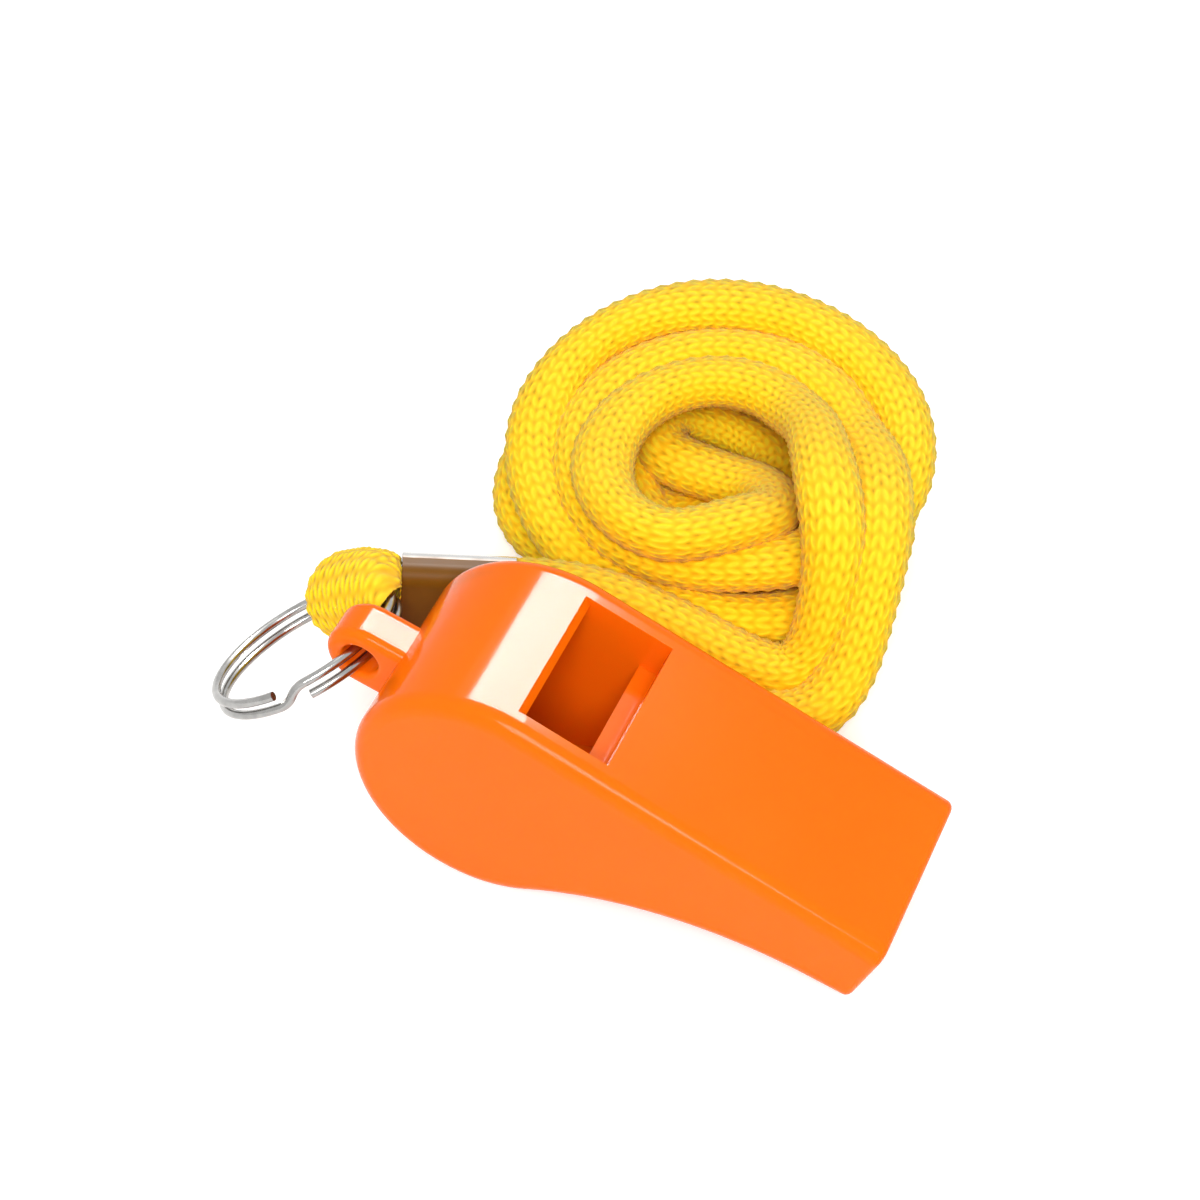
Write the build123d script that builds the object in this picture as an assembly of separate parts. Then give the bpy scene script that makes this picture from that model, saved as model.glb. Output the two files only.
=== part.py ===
from build123d import *
import math
import os

# A moulded pea whistle lying on a table on its belly and mouthpiece, with a split ring,
# a crimp and a coiled lanyard. Millimetres, +Z up, table at z = 0, +X towards the mouthpiece,
# +Y towards the side where the lanyard lies. The origin is below the middle of the whistle.

# Whistle, in its own frame: chamber axis along Y at x = z = 0, flat top at z = barrel_r
barrel_r = 12.0
body_width = 19.0
mouth_reach = 36.25          # chamber axis to the end of the mouthpiece
mouth_height = 8.5
mouth_flat = 4.0             # straight part of the underside, at the end of the mouthpiece
neck_r = 40.0                # hollow sweep between the barrel and the mouthpiece
side_wall = 2.4
barrel_wall = 2.2
top_wall = 2.0
windway_height = 2.5
floor_wall = 1.8             # moulding under the windway
underside_wall = 2.0
window_back = -0.2           # lip of the window, from the chamber axis
window_length = 8.1
lip_bevel = 0.8
edge_round = 1.6
mouth_round = 0.7
nose_wall = 6.0              # solid end of the mouthpiece, under the windway
pad_height = 1.5             # locating pad of the side cover
pad_clearance = 0.1

# Lanyard lug
lug_reach = 3.0              # back of the barrel to the middle of the eye
lug_drop = 1.2               # the eye lies this far below the chamber axis
lug_r = 3.4
lug_width = 4.4
lug_round = 0.9
eye_r = 1.75
eye_round = 0.5

# Pea
pea_r = 5.0
pea_clearance = 0.2

# Split ring, placed by how it leans out of the eye
ring_r = 9.1                 # middle of the wire
ring_wire = 0.85
ring_gap = 0.42              # between the two turns
ring_dip = 32.5              # degrees below level, from the eye to the ring's middle
ring_yaw = 8.0               # degrees towards +Y
ring_roll = 8.0              # degrees about the line from the eye to the ring's middle
ring_join = -54.0            # degrees round the ring from the eye, where the wire changes turns
ring_join_half = 10.0        # degrees, half of the change-over

# Cord, crimp and the loop round the ring
cord_d = 4.2
loop_at = 99.0               # degrees round the ring from the eye
loop_r = 4.3
loop_bore = 1.85
loop_length = 8.2
loop_round = 2.2
crimp_turn = 25.0            # degrees, heading of the crimp from +X towards +Y
crimp_dip = 8.0              # degrees, fall of the crimp towards the coil
crimp_start = 4.2            # loop centre to the mouth of the crimp
crimp_length = 10.5
crimp_sheet = 0.6
crimp_seam = 0.5             # slit where the folded edges of the sheet meet
crimp_corner = 1.6
grip_thick = 2.6             # the cord where the crimp presses it flat
cord_fit = 0.05              # gripped cord to the inside of the crimp

# Coil: two pairs of layers, the cord turned back in a bight at the end of the first pair
coil_x = -5.4
coil_y = 39.6
coil_r = 18.0                # middle of the outer turn
coil_start = 288.0           # degrees, where both leads run into the coil
coil_end = 190.0             # degrees, where the bight leaves it
coil_turns = 4               # of each pair, counted up to the bight's place in the last
coil_pitch = 4.8             # across the coil, for each turn
layer_pitch = 4.75
cord_lift = 0.05             # coil to the table
bight_leg = 5.0              # straight run of the cord out to the bight
coil_settle = 1.2            # the first turn comes in this far above the table
settle_turns = 0.3           # and lies flat after this share of a turn
straight_end = cord_d        # straight run at each end of the coil and of a lead

# Values worked out from the sizes above
inner_half = body_width / 2 - side_wall
bore_r = barrel_r - barrel_wall
floor_z = barrel_r - top_wall - windway_height
window_front = window_back + window_length
mouth_low = barrel_r - mouth_height
cord_r = cord_d / 2


def slab(sketch, y_low, y_high):
    """A sketch drawn in x and z, as a solid from y_low to y_high."""
    far = Plane((0, y_high, 0), x_dir=(1, 0, 0), z_dir=(0, -1, 0))
    return extrude(far * sketch, amount=y_high - y_low)


def box_between(x_low, x_high, z_low, z_high):
    """A rectangle by its sides, for use in a sketch."""
    return Pos((x_low + x_high) / 2, (z_low + z_high) / 2) * Rectangle(x_high - x_low, z_high - z_low)


def biarc(start, start_way, end, end_way):
    """Two arcs that leave start and reach end along the given directions."""
    span = end - start
    both = start_way + end_way
    a = 2 * (start_way.dot(end_way) - 1)
    b = -2 * span.dot(both)
    c = span.dot(span)
    reach = 2 * c / (-b + math.sqrt(b * b - 4 * a * c))
    near = start + start_way * reach
    far = end - end_way * reach
    middle = (near + far) * 0.5
    return [TangentArc(start, middle, tangent=start_way), TangentArc(middle, end, tangent=far - near)]


def tube(edges, radius):
    """A round tube along joined edges."""
    path = Wire(edges)
    section = Plane(origin=path @ 0, z_dir=path % 0) * Circle(radius)
    return sweep(section, path=path)


# Side outline of the whistle: barrel, hollow neck, underside of the mouthpiece, flat top
mouth_corner = Vector(mouth_reach, mouth_low)
corner_far = mouth_corner.length
neck_far = math.hypot(neck_r, mouth_flat)
neck_near = barrel_r + neck_r
neck_cosine = (neck_near ** 2 + corner_far ** 2 - neck_far ** 2) / (2 * neck_near * corner_far)
neck_turn = math.atan2(mouth_low, mouth_reach) - math.acos(neck_cosine)
neck_middle = Vector(math.cos(neck_turn), math.sin(neck_turn)) * neck_near
neck_start = neck_middle * (barrel_r / neck_near)
to_neck = (neck_middle - mouth_corner) / neck_far
back_way = Vector(to_neck.Y, -to_neck.X)
neck_end = mouth_corner + (to_neck * mouth_flat + back_way * neck_r) * (mouth_flat / neck_far)
neck_top = neck_middle + Vector(neck_end.X + neck_start.X - 2 * neck_middle.X,
                                neck_end.Y + neck_start.Y - 2 * neck_middle.Y).normalized() * neck_r
outline = Line((mouth_reach, mouth_low), (mouth_reach, barrel_r))
outline += Line((mouth_reach, barrel_r), (0, barrel_r))
outline += ThreePointArc((0, barrel_r), (-barrel_r, 0), neck_start)
outline += ThreePointArc(neck_start, neck_top, neck_end)
outline += Line(neck_end, (mouth_reach, mouth_low))
profile = make_face(outline.edges())

# Outer form of both mouldings, with its rounded edges
outer = slab(profile, -body_width / 2, body_width / 2)
side_faces = outer.faces().sort_by(Axis.Y)
side_edges = [e for f in (side_faces[0], side_faces[-1]) for e in f.edges()
              if (e @ 0.5).X < mouth_reach - 0.01]
outer = fillet(side_edges, edge_round)
mouth_face = outer.faces().sort_by(Axis.X)[-1]
outer = fillet(mouth_face.edges(), mouth_round)

# Lanyard lug: an eye on a short straight neck that runs into the barrel wall
eye = Vector(-barrel_r - lug_reach, -lug_drop)
lug_turn = math.degrees(math.atan2(lug_drop, barrel_r + lug_reach))
lug_neck = eye.length - barrel_r + barrel_wall / 2
lug_form = Pos(eye.X, eye.Y) * (Circle(lug_r) + Rot(0, 0, lug_turn) * box_between(0, lug_neck, -lug_r, lug_r))
lug = slab(lug_form, -lug_width / 2, lug_width / 2)
lug_edges = [e for f in (lug.faces().sort_by(Axis.Y)[0], lug.faces().sort_by(Axis.Y)[-1]) for e in f.edges()
             if (e @ 0.5).X < eye.X + lug_neck * 0.9]
lug = fillet(lug_edges, lug_round)

# Hollows: chamber, windway, window with its bevelled lip, and the cored pocket below the windway
chamber = slab(Circle(bore_r), -inner_half, inner_half)
windway_form = box_between(window_front - lip_bevel, mouth_reach + mouth_round, floor_z, barrel_r - top_wall)
window_form = box_between(window_back, window_front, floor_z, barrel_r + edge_round)
bevel_form = make_face(Polyline((window_back, barrel_r - lip_bevel), (window_back, barrel_r + edge_round),
                                (window_back - lip_bevel, barrel_r + edge_round),
                                (window_back - lip_bevel, barrel_r), close=True))
air_way = slab(windway_form + window_form + bevel_form, -inner_half, inner_half)
pocket_area = box_between(0, mouth_reach - nose_wall, -barrel_r, floor_z - floor_wall)
pocket_form = offset(profile, -underside_wall, kind=Kind.INTERSECTION) & pocket_area
pocket_form = pocket_form - Circle(barrel_r)
pocket = slab(pocket_form, -inner_half, inner_half)
eye_hole = slab(Pos(eye.X, eye.Y) * Circle(eye_r), -lug_width, lug_width)

# Body shell: everything up to the joint with the side cover
joint = Plane((0, inner_half, 0), x_dir=(1, 0, 0), z_dir=(0, 1, 0))
shell = split(outer, bisect_by=joint, keep=Keep.BOTTOM)
shell = shell + lug - chamber - air_way - pocket - eye_hole
eye_edges = [e for e in shell.edges().filter_by(GeomType.CIRCLE)
             if abs(e.radius - eye_r) < 0.01 and abs(e.arc_center.X - eye.X) < 0.01]
shell = fillet(eye_edges, eye_round)

# Side cover: the far wall, with a pad that locates it in the pocket
cover = split(outer, bisect_by=joint, keep=Keep.TOP)
pad = slab(offset(pocket_form, -pad_clearance, kind=Kind.INTERSECTION), inner_half - pad_height, inner_half)
cover = cover + pad

# How the whistle lies: nose down until the mouthpiece touches the table
nose_down = math.degrees(math.asin(barrel_r / corner_far) + math.atan2(mouth_low, mouth_reach))
tilted = Rot(0, nose_down, 0) * (shell + cover)
tilted_box = tilted.bounding_box()
rest = Pos(-(tilted_box.min.X + tilted_box.max.X) / 2, 0, -tilted_box.min.Z) * Rot(0, nose_down, 0)
chamber_axis = (rest * Pos(0, 0, 0)).position
eye_axis = (rest * Pos(eye.X, 0, eye.Y)).position

# Pea: a ball that lies at the bottom of the chamber, beside the near wall
pea_orbit = bore_r - pea_r - pea_clearance
pea_side = inner_half - pea_r - pea_clearance
pea = Pos(chamber_axis.X, -pea_side, chamber_axis.Z - pea_orbit) * Sphere(pea_r)

# Split ring: one turn in each of two planes, with a short change-over between them
dip = math.radians(ring_dip)
yaw = math.radians(ring_yaw)
roll = math.radians(ring_roll)
to_middle = Vector(-math.cos(dip) * math.cos(yaw), math.sin(yaw), -math.sin(dip) * math.cos(yaw))
level_side = (Vector(0, 1, 0) - to_middle * to_middle.Y).normalized()
ring_side = level_side * math.cos(roll) + to_middle.cross(level_side) * math.sin(roll)
ring_plane = Plane(eye_axis + to_middle * ring_r, x_dir=-to_middle, z_dir=(-to_middle).cross(ring_side))


def ring_point(angle, height, radius=ring_r):
    """A point of the ring, by degrees round it from the eye and height over its middle plane."""
    turn = math.radians(angle)
    return ring_plane.from_local_coords(Vector(radius * math.cos(turn), radius * math.sin(turn), height))


def ring_way(angle):
    """The direction of the wire there, towards larger angles."""
    turn = math.radians(angle)
    ahead = ring_plane.from_local_coords(Vector(-math.sin(turn), math.cos(turn), 0))
    return (ahead - ring_plane.origin).normalized()


def ring_arc(start, end, height):
    """One nearly closed turn of the wire."""
    middle = (start + end) / 2
    return ThreePointArc(ring_point(start, height), ring_point(middle, height), ring_point(end, height))


turn_height = (ring_wire + ring_gap) / 2
turn_open = 360 - 2 * ring_join_half
join_start = ring_join - ring_join_half
join_end = ring_join + ring_join_half
ring_edges = [ring_arc(join_start - turn_open, join_start, -turn_height)]
ring_edges += biarc(ring_point(join_start, -turn_height), ring_way(join_start),
                    ring_point(join_end, turn_height), ring_way(join_end))
ring_edges += [ring_arc(join_end, join_end + turn_open, turn_height)]
split_ring = tube(ring_edges, ring_wire / 2)

# Loop of the cord round the ring: a bead on the wire, with the gripped cord running on through the crimp
loop_sag = ring_r - math.sqrt(ring_r ** 2 - (loop_length / 2) ** 2)
loop_middle = ring_point(loop_at, 0, ring_r - loop_sag / 2)
loop_axis = ring_way(loop_at)
turn = math.radians(crimp_turn)
fall = math.radians(crimp_dip)
crimp_way = Vector(math.cos(fall) * math.cos(turn), math.cos(fall) * math.sin(turn), -math.sin(fall))
crimp_mouth = Plane(loop_middle + crimp_way * crimp_start,
                    x_dir=Vector(0, 0, 1) - crimp_way * crimp_way.Z, z_dir=crimp_way)
grip_wide = 2 * cord_d + cord_fit
bead = Plane(loop_middle, z_dir=loop_axis) * Cylinder(loop_r, loop_length)
bead = fillet(bead.edges(), loop_round)
bead = split(bead, bisect_by=crimp_mouth, keep=Keep.BOTTOM)
grip_form = RectangleRounded(grip_wide, grip_thick, crimp_corner - crimp_sheet)
grip = extrude(crimp_mouth.offset(-crimp_start) * grip_form, amount=crimp_start + crimp_length)
bore = Plane(loop_middle, z_dir=loop_axis) * Cylinder(loop_bore, 2 * loop_length)
cord_loop = bead + grip - bore

# Crimp: sheet folded round the gripped cord, its edges meeting in a slit on the far side
hollow_wide = grip_wide + 2 * cord_fit
hollow_thick = grip_thick + 2 * cord_fit
crimp_outside = RectangleRounded(hollow_wide + 2 * crimp_sheet, hollow_thick + 2 * crimp_sheet, crimp_corner)
crimp_inside = RectangleRounded(hollow_wide, hollow_thick, crimp_corner - crimp_sheet)
seam = Pos(0, -hollow_thick / 2) * Rectangle(crimp_seam, 4 * crimp_sheet)
crimp = extrude(crimp_mouth * (crimp_outside - crimp_inside - seam), amount=crimp_length)


# Coil
def coil_place(turns, low, settle):
    """A point of a pair of layers that spirals in, climbs a layer and spirals out again."""
    past = turns - pair_turns / 2
    inner = 0.125 + 2 * past * past if abs(past) < 0.25 else abs(past)
    radius = coil_r - coil_pitch * (pair_turns / 2 - inner)
    share = min(1, max(0, 0.5 + 2 * past))
    angle = math.radians(coil_start + 360 * turns)
    height = low + layer_pitch * share * share * (3 - 2 * share)
    if turns < settle_turns:
        height += settle * (1 - turns / settle_turns) ** 2
    return Vector(coil_x + radius * math.cos(angle), coil_y + radius * math.sin(angle), height)


def coil_stations(low, settle=0):
    """Points and directions about a quarter turn apart, from the outside in and out again."""
    steps = math.ceil(pair_turns * 4)
    small = 0.001
    stations = []
    for step in range(steps + 1):
        turns = pair_turns * step / steps
        point = coil_place(turns, low, settle)
        ahead = coil_place(turns + small, low, settle) - point
        stations.append((point, ahead.normalized()))
    return stations


def coil_edges(stations):
    """The arcs that join the stations."""
    return [e for one, two in zip(stations, stations[1:]) for e in biarc(*one, *two)]


pair_turns = coil_turns + (coil_end - coil_start) / 360
layer_one = cord_lift + cord_r
lower = coil_stations(layer_one, coil_settle)
upper = coil_stations(layer_one + 2 * layer_pitch)
bight_from, bight_way = lower[-1]
bight_to = upper[-1][0]
leg = bight_way * bight_leg
bight_top = (bight_from + bight_to) * 0.5 + leg + bight_way * layer_pitch
back = [(point, -way) for point, way in reversed(upper)]
lower_end = lower[0][0] - lower[0][1] * straight_end
upper_end = upper[0][0] - upper[0][1] * straight_end
path_edges = [Line(lower_end, lower[0][0])]
path_edges += coil_edges(lower)
path_edges += [Line(bight_from, bight_from + leg)]
path_edges += [ThreePointArc(bight_from + leg, bight_top, bight_to + leg)]
path_edges += [Line(bight_to + leg, bight_to)]
path_edges += coil_edges(back)
path_edges += [Line(upper[0][0], upper_end)]
lanyard_coil = tube(path_edges, cord_r)

# Leads
crimp_end = crimp_mouth.offset(crimp_length)


def lead(side, end, way):
    """A tube from the crimp to an end of the coil, and its length."""
    start = crimp_end.from_local_coords(Vector(side * (cord_r + cord_fit / 2), 0, 0))
    route = [start, start + crimp_way * straight_end, end - way * straight_end, end]
    runs = [b - a for a, b in zip(route, route[1:])]
    radii = []
    for one, two in zip(runs, runs[1:]):
        half = math.radians(one.get_angle(two)) / 2
        radii.append(0.45 * min(one.length, two.length) / math.tan(half))
    print("lead radii", [round(r, 1) for r in radii])
    path = FilletPolyline(*route, radius=radii)
    return tube(path.edges(), cord_r), path.length


lead_lower, lower_length = lead(-1, lower_end, lower[0][1])
lead_upper, upper_length = lead(1, upper_end, upper[0][1])


# Measures
def least_gap(edges):
    """The smallest gap between stretches of the coil that are over three diameters apart along it."""
    points = []
    along = 0
    for edge in edges:
        steps = max(2, math.ceil(edge.length))
        points += [(along + edge.length * k / steps, edge @ (k / steps)) for k in range(steps)]
        along += edge.length
    least = math.inf
    for i, (here, one) in enumerate(points):
        for there, two in points[i + 1:]:
            if there - here > 3 * cord_d:
                least = min(least, (two - one).length)
    return least - cord_d


def section_share(solid, length):
    """Volume of a tube over its section by its length, which is 1 for a whole one."""
    return round(solid.volume / (math.pi * cord_r ** 2 * length), 4)


coil_length = sum(e.length for e in path_edges)
print("coil length", round(coil_length, 1), "whole cord", round(coil_length + lower_length + upper_length, 1))
print("coil least gap", round(least_gap(path_edges), 2))
print("coil volume over section by length", section_share(lanyard_coil, coil_length))
for name, solid, length in (("lower", lead_lower, lower_length), ("upper", lead_upper, upper_length)):
    print(name, "lead volume over section by length", section_share(solid, length))
print("nose down", round(nose_down, 2), "chamber axis", chamber_axis, "eye axis", eye_axis)
print("loop middle", loop_middle, "loop axis", loop_axis)
print("crimp end", crimp_end.origin, "coil ends", lower_end, upper_end)

nodes = {
    "body_shell": rest * shell,
    "side_cover": rest * cover,
    "pea": pea,
    "split_ring": split_ring,
    "cord_loop": cord_loop,
    "crimp": crimp,
    "lead_lower": lead_lower,
    "lead_upper": lead_upper,
    "lanyard_coil": lanyard_coil,
}
os.makedirs("parts", exist_ok=True)
for name, solid in nodes.items():
    export_step(solid, f"parts/{name}.step")
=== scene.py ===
import math

import bmesh
import bpy
import numpy as np
from mathutils import Matrix, Vector


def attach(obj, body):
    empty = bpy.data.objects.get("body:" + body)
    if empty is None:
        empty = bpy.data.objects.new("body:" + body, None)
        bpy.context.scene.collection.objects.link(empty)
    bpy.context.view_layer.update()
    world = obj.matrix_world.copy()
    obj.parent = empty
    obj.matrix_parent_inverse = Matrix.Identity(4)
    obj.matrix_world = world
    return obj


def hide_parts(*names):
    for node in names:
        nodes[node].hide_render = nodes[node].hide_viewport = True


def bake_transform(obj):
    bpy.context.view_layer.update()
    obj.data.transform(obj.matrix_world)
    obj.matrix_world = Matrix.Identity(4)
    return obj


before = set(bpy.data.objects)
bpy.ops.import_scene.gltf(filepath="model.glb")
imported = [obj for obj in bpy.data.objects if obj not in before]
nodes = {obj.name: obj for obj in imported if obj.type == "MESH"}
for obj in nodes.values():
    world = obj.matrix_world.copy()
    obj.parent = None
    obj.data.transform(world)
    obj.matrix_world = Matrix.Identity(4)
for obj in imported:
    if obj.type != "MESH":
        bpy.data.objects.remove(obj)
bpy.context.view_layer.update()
mm = 0.001


# Whistle body and side cover
# Two mouldings of one glossy orange plastic, bonded along the far side wall once the pea is in.
# The mould is polished: the skin has only a faint cloudiness and a fine grain.
class Shade:
    """A value in a material; sums and products of it add the nodes that work them out."""

    def __init__(self, finish, socket):
        self.finish = finish
        self.socket = socket

    def math(self, operation, *others):
        values = dict(enumerate((self, *others)))
        return self.finish.node("ShaderNodeMath", {"operation": operation}, values)

    def between(self, low, high):
        return self.math("MAXIMUM", low).math("MINIMUM", high)

    def __add__(self, other):
        return self.math("ADD", other)

    def __radd__(self, other):
        return self.math("ADD", other)

    def __sub__(self, other):
        return self.math("SUBTRACT", other)

    def __rsub__(self, other):
        return self.math("MULTIPLY", -1).math("ADD", other)

    def __mul__(self, other):
        return self.math("MULTIPLY", other)

    def __rmul__(self, other):
        return self.math("MULTIPLY", other)

    def __pow__(self, other):
        return self.math("POWER", other)


class Finish:
    """A material, or the world: node() adds any node to it, and feed() links a value to its shader."""

    def __init__(self, name, kind=bpy.data.materials, shader="Principled BSDF", **constants):
        self.material = kind.new(name)
        self.material.use_nodes = True
        self.tree = self.material.node_tree
        self.shader = self.tree.nodes[shader]
        for socket, value in constants.items():
            self.shader.inputs[socket.replace("_", " ")].default_value = value

    def node(self, kind, settings=None, sockets=None, output=0):
        made = self.tree.nodes.new(kind)
        for setting, value in (settings or {}).items():
            setattr(made, setting, value)
        for socket, value in (sockets or {}).items():
            if isinstance(value, Shade):
                self.tree.links.new(value.socket, made.inputs[socket])
            else:
                made.inputs[socket].default_value = value
        return Shade(self, made.outputs[output])

    def noise(self, place, scale, detail=2):
        return self.node("ShaderNodeTexNoise", {}, {"Vector": place, "Scale": scale, "Detail": detail})

    def mix(self, share, low, high):
        low = low if isinstance(low, Shade) else (*low, 1)
        high = high if isinstance(high, Shade) else (*high, 1)
        return self.node("ShaderNodeMix", {"data_type": "RGBA"}, {0: share, 6: low, 7: high}, 2)

    def feed(self, socket, value):
        self.tree.links.new(value.socket, self.shader.inputs[socket])

    def emboss(self, height, distance, strength=1):
        bump = {"Height": height, "Distance": distance, "Strength": strength}
        self.feed("Normal", self.node("ShaderNodeBump", {}, bump))


orange = Finish("orange_moulding", Specular_IOR_Level=0.1, Subsurface_Weight=0.3,
                Subsurface_Scale=2 * mm, Subsurface_Radius=(1.0, 0.4, 0.05))
place = orange.node("ShaderNodeTexCoord", output="Object")
cloud = orange.noise(place, 60, 3)
speck = orange.noise(place, 900, 2)
orange.feed("Base Color", orange.mix(cloud, (0.97, 0.145, 0.001), (0.99, 0.170, 0.003)))
orange.feed("Roughness", 0.08 + 0.05 * cloud + 0.03 * speck)
orange.emboss(speck, 0.004 * mm, 0.4)
for name in ("body_shell", "side_cover"):
    nodes[name].data.materials[0] = orange.material


# Pea
# A loose ball in the chamber, moulded in the same orange as the body but left matt.
# It only shows through the window.
matt_orange = Finish("matt_orange_ball", Specular_IOR_Level=0.2)
place = matt_orange.node("ShaderNodeTexCoord", output="Object")
grain = matt_orange.noise(place, 1400, 4)
matt_orange.feed("Base Color", matt_orange.mix(grain, (0.88, 0.115, 0.001), (0.96, 0.150, 0.003)))
matt_orange.feed("Roughness", 0.5 + 0.25 * grain)
matt_orange.emboss(grain, 0.03 * mm)
nodes["pea"].data.materials[0] = matt_orange.material


# Split ring
# Spring steel wire wound twice and nickel plated, with a change-over where it is pried open.
# The plating is bright under a fine, uneven haze.
nickel = Finish("nickel_wire", Metallic=1.0)
place = nickel.node("ShaderNodeTexCoord", output="Object")
haze = nickel.noise(place, 700, 3)
nickel.feed("Base Color", nickel.mix(haze, (0.24, 0.235, 0.225), (0.52, 0.515, 0.50)))
nickel.feed("Roughness", 0.12 + 0.16 * haze)
nickel.emboss(haze, 0.006 * mm, 0.5)
nodes["split_ring"].data.materials[0] = nickel.material


# Crimp
# A strip of nickel-plated sheet, folded round the cord and pressed flat on it.
# Its faces are dark brown, a painted reflection of shade; its upper fold, facing up and back, is bright
# plating, a painted highlight.
highlight_way = (-0.126, 0.544, 0.822)  # the way that the upper fold faces
highlight_edge = 0.84                   # cosine to that way, at which the painted highlight starts
nickel_with_painted_light = Finish("nickel_sheet_with_painted_light", Specular_IOR_Level=0.1)
place = nickel_with_painted_light.node("ShaderNodeTexCoord", output="Object")
mottle = nickel_with_painted_light.noise(place, 500, 4)
facing = nickel_with_painted_light.node("ShaderNodeTexCoord", output="Normal")
fold = {0: facing, 1: highlight_way}
highlight_facing = nickel_with_painted_light.node("ShaderNodeVectorMath", {"operation": "DOT_PRODUCT"}, fold, "Value")
# painted highlight: bright metal on the faces turned up and back, with a ragged edge
painted_highlight = ((highlight_facing - highlight_edge) * 12 + 0.6 * (mottle - 0.5)).between(0, 1)
# painted reflection of shade: dark brown on all other faces, a little uneven at random
painted_shade_reflection = nickel_with_painted_light.mix(mottle, (0.14, 0.056, 0.003), (0.19, 0.078, 0.005))
nickel_with_painted_light.feed("Base Color", nickel_with_painted_light.mix(painted_highlight, painted_shade_reflection, (0.62, 0.61, 0.59)))
nickel_with_painted_light.feed("Metallic", painted_highlight)
nickel_with_painted_light.feed("Roughness", 0.36 + 0.1 * mottle - 0.2 * painted_highlight)
nickel_with_painted_light.emboss(mottle, 0.01 * mm, 0.4)
nodes["crimp"].data.materials[0] = nickel_with_painted_light.material


# Lanyard cord
# One length of yellow machine-knitted cord, both ends gripped in the crimp. Both run along the far
# side of the whistle, turn up on to the pile at its right and wind round it, one inside the other.
cord_width = 5.8 * mm
cord_thick = 4.6 * mm
crimp_end = Vector((-18.127, 15.947, 9.218)) * mm
crimp_way = Vector((0.8975, 0.4185, -0.1392))
lead_apart = Vector((0.1261, 0.0588, 0.9903)) * 2.125 * mm
lead_run = 4.2 * mm
steps_per_turn = 16
give_way = 100  # degrees over which one turn gives way to the next
table_gap = 0.2 * mm
upper_lead = [(-9, 19.4, 9.4), (-3, 20.2, 7.0), (3, 20.3, 4.6), (7.2, 21.0, 3.8),
              (9, 22.9, 5.4), (9.3, 25.2, 8.8), (9.2, 27.8, 12.4), (8.0, 31.0, 15.4),
              (5.9, 34.8, 16.6), (3.8, 38.6, 16.0), (1.6, 42.6, 14.4)]
lower_lead = [(-10, 17.8, 5.4), (-4, 16.6, 3.8), (2, 15.6, 2.9), (7.5, 15.9, 2.8),
              (11.4, 18.0, 3.2), (13.0, 22.0, 5.6), (13.2, 26.5, 9.3), (12.7, 31.0, 12.4),
              (11.0, 36.0, 14.0), (8.6, 41.0, 13.6)]
crossing = [(-0.4, 31.2, 11.9), (0.8, 34.2, 10.2), (-0.2, 37.4, 8.6), (-3.0, 40.0, 7.0),
            (-7, 40.6, 6.3)]


class Turn:
    """One turn of the pile: an oval, tilted to the right and to the back, and where it is left."""

    def __init__(self, middle, half_width, half_depth, height, tilt_right, tilt_back, left_at):
        self.shape = np.array((*middle, half_width, half_depth, height, tilt_right, tilt_back))
        self.left_at = left_at


inner_turns = [
    Turn((-7.2, 36.7), 9.7, 11.2, 12.7, 0.0, -0.1, 360),
]
outer_turns = [
    Turn((-7.1, 39.3), 13.7, 12.8, 10.6, 0.0, 2.1, 290),
    Turn((-6.9, 40.2), 18.9, 16.5, 10.0, -1.2, 4.7, 265),
    Turn((-8.6, 38.6), 18.9, 14.2, 3.8, 0.0, 3.8, 200),
    Turn((-7.0, 43.9), 14.2, 14.2, 2.5, 0.0, 0.0, 200),
    Turn((-7.6, 44.0), 11.6, 11.9, 6.4, 0.0, 0.0, 160),
    Turn((-7.0, 43.9), 9.6, 9.7, 2.5, 0.0, 0.0, 200),
    Turn((-9.0, 45.2), 5.4, 5.2, 2.5, 0.0, 0.0, 80),
    Turn((-9.4, 45.4), 6.0, 5.0, 6.3, 0.0, 0.0, 360),
]


def pile_points(turns, first, last):
    """Points round the turns, from one angle to another; each turn gives way to the next."""
    points = []
    for step in range(round((last - first) / 360 * steps_per_turn) + 1):
        angle = first + 360 * step / steps_per_turn
        shape = turns[0].shape
        for number, turn in enumerate(turns[:-1]):
            share = min(1, max(0, (angle - 360 * number - turn.left_at) / give_way))
            share = share * share * (3 - 2 * share)
            shape = shape + (turns[number + 1].shape - turn.shape) * share
        x, y, half_width, half_depth, height, tilt_right, tilt_back = shape
        right = math.cos(math.radians(angle))
        back = math.sin(math.radians(angle))
        height = max(height + tilt_right * right + tilt_back * back, (cord_thick / 2 + table_gap) / mm)
        points.append((x + half_width * right, y + half_depth * back, height))
    return points


inner = pile_points(inner_turns, first=55, last=290)
outer = pile_points(outer_turns, first=30, last=6 * 360 + 230)
chosen = upper_lead + inner + crossing + outer[::-1] + lower_lead[::-1]
upper_exit = crimp_end + lead_apart
lower_exit = crimp_end - lead_apart
route = [upper_exit, upper_exit + crimp_way * lead_run]
route += [Vector(point) * mm for point in chosen]
route += [lower_exit + crimp_way * lead_run, lower_exit]


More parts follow.
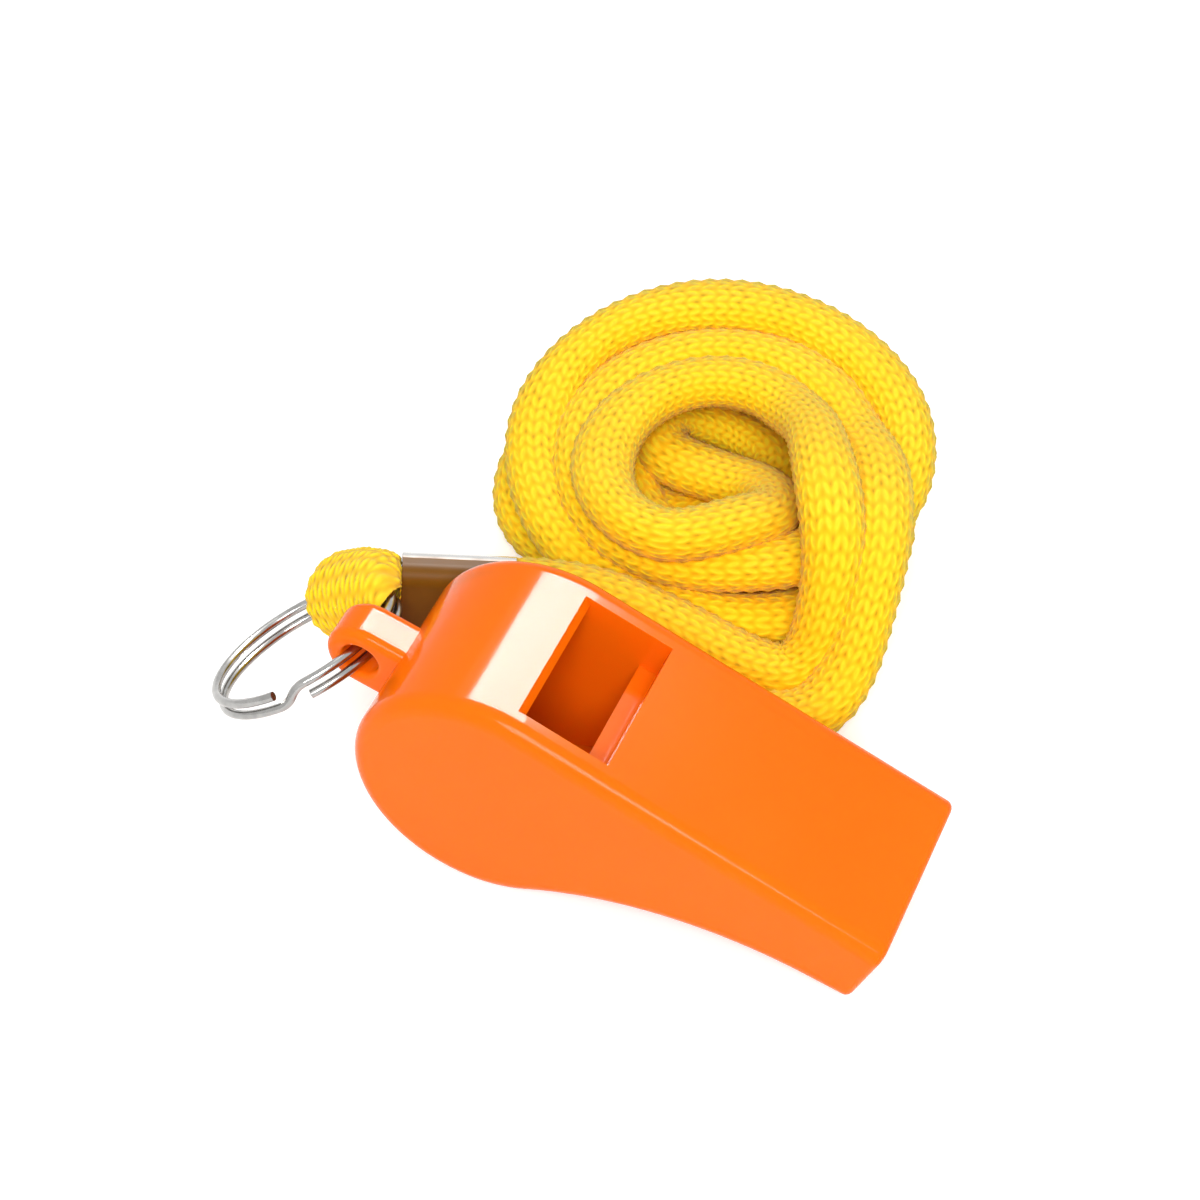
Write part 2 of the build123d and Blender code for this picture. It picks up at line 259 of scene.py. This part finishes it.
def spline_points(points):
    """The points along the smooth curve that has these control points."""
    curve = bpy.data.curves.new("route", "CURVE")
    curve.dimensions = "3D"
    spline = curve.splines.new("NURBS")
    spline.points.add(len(points) - 1)
    for place, point in zip(spline.points, points):
        place.co = (*point, 1)
    spline.order_u = 3
    spline.use_endpoint_u = True
    spline.resolution_u = 8
    holder = bpy.data.objects.new("route", curve)
    mesh = bpy.data.meshes.new_from_object(holder)
    line = np.array([v.co for v in mesh.vertices])
    bpy.data.objects.remove(holder)
    bpy.data.meshes.remove(mesh)
    bpy.data.curves.remove(curve)
    return line


def even_points(line, step):
    """The same line with points that are step apart."""
    along = np.concatenate([[0], np.cumsum(np.linalg.norm(np.diff(line, axis=0), axis=1))])
    count = max(2, round(along[-1] / step))
    places = np.linspace(0, along[-1], count + 1)
    return np.stack([np.interp(places, along, line[:, axis]) for axis in range(3)], 1)


course = 1.45 * mm
wales = 12
course_steps = 4
wale_steps = 4
stitch_relief = 0.22 * mm
stitch_level = 0.6  # height of a stitch that lies level with the plain tube


def stitch_height(along, around):
    """Height of the knitted face, 0 to 1: each stitch is a pair of legs in a V."""
    across = np.abs(around % 1 - 0.5)
    stripe = np.cos(2 * np.pi * (along + across))
    leg = np.cos(4 * np.pi * (across - 0.25))
    return (0.55 + 0.45 * stripe) * (0.6 + 0.4 * leg)


def knit_tube(name, line):
    """A knitted tube along a line, with stitches in relief."""
    line = even_points(line, course / course_steps)
    count = len(line)
    way = np.gradient(line, axis=0)
    way /= np.linalg.norm(way, axis=1)[:, None]
    up = np.array((0, 0, 1)) - way * way[:, 2:]
    up /= np.linalg.norm(up, axis=1)[:, None]
    side = np.cross(way, up)
    sides = wales * wale_steps
    turn = np.arange(sides) * 2 * np.pi / sides
    along = np.arange(count)[:, None] / course_steps
    around = np.arange(sides)[None, :] / wale_steps
    relief = stitch_relief * (stitch_height(along, around) - stitch_level)
    swell = 0.05 * np.sin(along / 4.1) + 0.04 * np.sin(along / 2.3 + 1)
    wide = (cord_width / 2 * (1 + swell) + relief) * np.cos(turn)
    thick = (cord_thick / 2 * (1 - swell / 2) + relief) * np.sin(turn)
    skin = line[:, None] + wide[..., None] * side[:, None] + thick[..., None] * up[:, None]
    ring = np.arange(sides)
    after = (ring + 1) % sides
    low = np.arange(count - 1)[:, None] * sides
    high = low + sides
    quads = np.stack([low + ring, low + after, high + after, high + ring], -1).reshape(-1, 4)
    caps = [tuple(range(sides - 1, -1, -1)), tuple(range((count - 1) * sides, count * sides))]
    mesh = bpy.data.meshes.new(name)
    mesh.from_pydata(skin.reshape(-1, 3).tolist(), [], quads.tolist() + caps)
    layer = mesh.uv_layers.new(name="knit")
    knit = np.zeros((len(mesh.loops), 2), np.float32)
    row = np.repeat(np.arange(count - 1), sides)
    column = np.tile(ring, count - 1)
    for corner, (next_row, next_column) in enumerate(((0, 0), (0, 1), (1, 1), (1, 0))):
        knit[corner:quads.size:4, 0] = (row + next_row) / course_steps
        knit[corner:quads.size:4, 1] = (column + next_column) / wale_steps
    layer.data.foreach_set("uv", knit.ravel())
    mesh.polygons.foreach_set("use_smooth", [True] * len(mesh.polygons))
    made = bpy.data.objects.new(name, mesh)
    bpy.context.scene.collection.objects.link(made)
    return made, line


yellow = Finish("yellow_knit", Sheen_Weight=0.1, Specular_IOR_Level=0.1)
place = yellow.node("ShaderNodeTexCoord", output="Object")
fluff = yellow.noise(place, 2500, 3)
patch = yellow.noise(place, 140, 2)
uneven = yellow.noise(place, 420, 2)
face = yellow.node("ShaderNodeUVMap", {"uv_map": "knit"})
along = yellow.node("ShaderNodeSeparateXYZ", {}, {0: face}, "X") + 0.5 * (uneven - 0.5)
around = yellow.node("ShaderNodeSeparateXYZ", {}, {0: face}, "Y")
across = (around.math("FRACT") - 0.5).math("ABSOLUTE")
stripe = ((along + across) * (2 * math.pi)).math("COSINE")
leg = ((across - 0.25) * (4 * math.pi)).math("COSINE")
stitch = (0.55 + 0.45 * stripe) * (0.6 + 0.4 * leg)
hole = ((0.5 - 0.5 * stripe) * (0.5 - 0.5 * leg)) ** 2.0
dye = yellow.mix(patch, (0.97, 0.66, 0.006), (1.0, 0.77, 0.024))
# painted shade: the low parts of each stitch, between its legs, turn a deeper orange
yarn_with_painted_crease_shade = yellow.mix((stitch * 1.8).math("MINIMUM", 1), (0.97, 0.52, 0.003), dye)
# painted shade: the holes between stitches are darker still, more in some places than others
painted_hole_shade = hole * ((uneven - 0.3) * 3).between(0.3, 1)
yellow.feed("Base Color", yellow.mix(painted_hole_shade, yarn_with_painted_crease_shade, (0.55, 0.31, 0.003)))
yellow.feed("Roughness", 0.72 + 0.2 * fluff)
yellow.emboss(stitch + 0.2 * fluff, 0.25 * mm, 0.5)

lanyard, lanyard_line = knit_tube("lanyard_cord", spline_points(route))
lanyard.data.materials.append(yellow.material)
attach(lanyard, "lanyard")
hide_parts("lead_lower", "lead_upper", "lanyard_coil")


# Loop of the cord round the ring
# The cord goes round the ring and back into the crimp, drawn tight to one knitted knob.
# The wire runs in a channel through it.
loop_middle = Vector((-31.320, 9.795, 11.264)) * mm
loop_way = Vector((0.8548, 0.0159, 0.5187))
mouth_run = 4.15 * mm
outward = (crimp_way - loop_way * loop_way.dot(crimp_way)).normalized()
sideways = loop_way.cross(outward)
knob_rings = [(-3.8, 2.0, 0.6), (-3.0, 3.4, 0.4), (-1.2, 4.3, 0), (3.0, 4.4, 0.6),
              (5.2, 4.2, 1.6), (6.6, 3.6, 2.8), (7.6, 2.7, 4.0), (8.0, 2.2, 4.6)]
knob_sides = 24
mouth_half_height = 4.2
mouth_half_width = 1.5
channel_radius = 1.35 * mm
channel_steps = 72
channel_sides = 16
loop_courses = 15
wale_width = 1.4 * mm
wire = np.array([v.co for v in nodes["split_ring"].data.vertices])
ring_middle = wire.mean(0)
inward = Vector(ring_middle) - loop_middle
inward = (inward - loop_way * inward.dot(loop_way)).normalized()


def knob_hull():
    """The drawn-up loop: rings round the wire, cut off by the crimp's mouth, and the mouth itself."""
    form = bmesh.new()
    for run, radius, bend in knob_rings:
        for step in range(knob_sides):
            turn = math.radians(360 / knob_sides * step)
            spoke = outward * math.cos(turn) + sideways * math.sin(turn)
            point = loop_middle + (loop_way * run + spoke * radius + inward * bend) * mm
            past = (point - loop_middle).dot(crimp_way) - mouth_run
            form.verts.new(point - crimp_way * max(past, 0))
    upright = lead_apart.normalized()
    flat = crimp_way.cross(upright)
    for high in (-mouth_half_height, mouth_half_height):
        for wide in (-mouth_half_width, mouth_half_width):
            form.verts.new(loop_middle + crimp_way * mouth_run + (upright * high + flat * wide) * mm)
    bmesh.ops.convex_hull(form, input=form.verts)
    mesh = bpy.data.meshes.new("cord_knob")
    form.to_mesh(mesh)
    form.free()
    return mesh


def wire_channel():
    """A tube round the whole ring, a little wider than its two turns of wire."""
    across, upright, normal = np.linalg.svd(wire - ring_middle, full_matrices=False)[2]
    ring_radius = np.linalg.norm(wire - ring_middle, axis=1).mean()
    form = bmesh.new()
    rounds = []
    for step in range(channel_steps):
        turn = math.radians(360 / channel_steps * step)
        spoke = across * math.cos(turn) + upright * math.sin(turn)
        rounds.append([])
        for side in range(channel_sides):
            lean = math.radians(360 / channel_sides * side)
            reach = ring_radius + channel_radius * math.cos(lean)
            point = ring_middle + spoke * reach + normal * channel_radius * math.sin(lean)
            rounds[-1].append(form.verts.new(point))
    for one, two in zip(rounds, rounds[1:] + rounds[:1]):
        for side in range(channel_sides):
            form.faces.new((one[side - 1], one[side], two[side], two[side - 1]))
    bmesh.ops.recalc_face_normals(form, faces=form.faces)
    mesh = bpy.data.meshes.new("wire_channel")
    form.to_mesh(mesh)
    form.free()
    return bpy.data.objects.new("wire_channel", mesh)


rough = bpy.data.objects.new("rough_knob", knob_hull())
channel = wire_channel()
for shape in (rough, channel):
    bpy.context.scene.collection.objects.link(shape)
even = rough.modifiers.new("even", "REMESH")
even.voxel_size = 0.3 * mm
soft = rough.modifiers.new("soft", "SMOOTH")
soft.iterations = 14
cut = rough.modifiers.new("cut", "BOOLEAN")
cut.object = channel
cut.operation = "DIFFERENCE"
settled = rough.evaluated_get(bpy.context.evaluated_depsgraph_get())
knob_mesh = bpy.data.meshes.new_from_object(settled)
for shape in (rough, channel):
    bpy.data.objects.remove(shape)

spot = np.array([v.co for v in knob_mesh.vertices]) - np.array(loop_middle)
courses = np.arctan2(spot @ np.array(sideways), spot @ np.array(outward)) / (2 * np.pi) * loop_courses
across = spot @ np.array(loop_way) / wale_width
lift = stitch_relief * (stitch_height(courses, across) - stitch_level)
raised = spot + np.array(loop_middle) + lift[:, None] * np.array([v.normal for v in knob_mesh.vertices])
knob_mesh.vertices.foreach_set("co", raised.ravel())
layer = knob_mesh.uv_layers.new(name="knit")
for polygon in knob_mesh.polygons:
    first = courses[knob_mesh.loops[polygon.loop_start].vertex_index]
    for corner in polygon.loop_indices:
        vertex = knob_mesh.loops[corner].vertex_index
        laps = round((first - courses[vertex]) / loop_courses)
        layer.data[corner].uv = (courses[vertex] + laps * loop_courses, across[vertex])
knob_mesh.polygons.foreach_set("use_smooth", [True] * len(knob_mesh.polygons))
knob_mesh.materials.clear()
knob_mesh.materials.append(yellow.material)
knob = bpy.data.objects.new("cord_knob", knob_mesh)
bpy.context.scene.collection.objects.link(knob)
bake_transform(knob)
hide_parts("cord_loop")


# Table, light and camera
# A pale table under one long overhead softbox behind the whistle, with soft light all round.
# A wide, dim softbox overhead and one beside the camera fill what that leaves dark.
floor_mesh = bpy.data.meshes.new("table")
far = 3.0
floor_corners = [(-far, -far, 0), (far, -far, 0), (far, far, 0), (-far, far, 0)]
floor_mesh.from_pydata(floor_corners, [], [(0, 1, 2, 3)])
floor = bpy.data.objects.new("table", floor_mesh)
bpy.context.scene.collection.objects.link(floor)
pale = Finish("pale_table", Base_Color=(0.80, 0.80, 0.80, 1), Roughness=0.9, Specular_IOR_Level=0.0,
              Emission_Strength=0.4)


def seen_rays(finish):
    """1 for what the camera sees straight, mirrored or through something clear, and 0 for light."""
    camera_ray = finish.node("ShaderNodeLightPath", output="Is Camera Ray")
    mirrored = finish.node("ShaderNodeLightPath", output="Is Glossy Ray")
    through = finish.node("ShaderNodeLightPath", output="Is Transmission Ray")
    return camera_ray.math("MAXIMUM", mirrored).math("MAXIMUM", through)


pale.feed("Emission Color", pale.mix(seen_rays(pale), (0, 0, 0), (1, 1, 1)))
floor_mesh.materials.append(pale.material)

studio = Finish("studio", bpy.data.worlds, "Background", Color=(1, 1, 1, 1), Strength=0.56)
bpy.context.scene.world = studio.material
light = Shade(studio, studio.shader.outputs[0])
backdrop = studio.node("ShaderNodeBackground", {}, {"Color": (1, 1, 1, 1), "Strength": 1.0})
both = studio.node("ShaderNodeMixShader", {}, {0: seen_rays(studio), 1: light, 2: backdrop})
studio.tree.links.new(both.socket, studio.tree.nodes["World Output"].inputs["Surface"])


def softbox(name, centre, target, width, height, radiance):
    """A rectangular lamp that faces the target with an even radiance."""
    lamp = bpy.data.lights.new(name, "AREA")
    lamp.shape = "RECTANGLE"
    lamp.size = width
    lamp.size_y = height
    lamp.energy = radiance * math.pi * width * height
    made = bpy.data.objects.new(name, lamp)
    made.location = centre
    made.rotation_euler = (Vector(target) - Vector(centre)).to_track_quat("-Z", "Y").to_euler()
    bpy.context.scene.collection.objects.link(made)
    return made


strip = softbox("overhead_strip", (-0.005, 0.565, 0.785), (-0.005, 0, 0.022), 0.72, 0.16, 75)
strip.visible_diffuse = False
softbox("overhead_key", (-0.1, 0.5, 0.9), (-0.005, 0, 0.02), 0.9, 0.6, 1.2)
softbox("front_fill", (0.27, -0.57, 0.72), (0, 0.02, 0.01), 0.35, 0.35, 18)

bpy.context.scene.view_settings.view_transform = "Standard"
camera = bpy.data.cameras.new("camera")
camera.lens = 91.26
camera.sensor_width = 36
camera.clip_start = 0.01
eye = bpy.data.objects.new("camera", camera)
right = Vector((0.916, 0.399, -0.051))
down = Vector((0.259, -0.682, -0.685))
ahead = Vector((-0.308, 0.614, -0.727))
turned = Matrix((right, -down, -ahead)).transposed()
eye.matrix_world = Matrix.Translation(Vector((76.7, -155.0, 215.3)) * mm) @ turned.to_4x4()
bpy.context.scene.collection.objects.link(eye)
bpy.context.scene.camera = eye
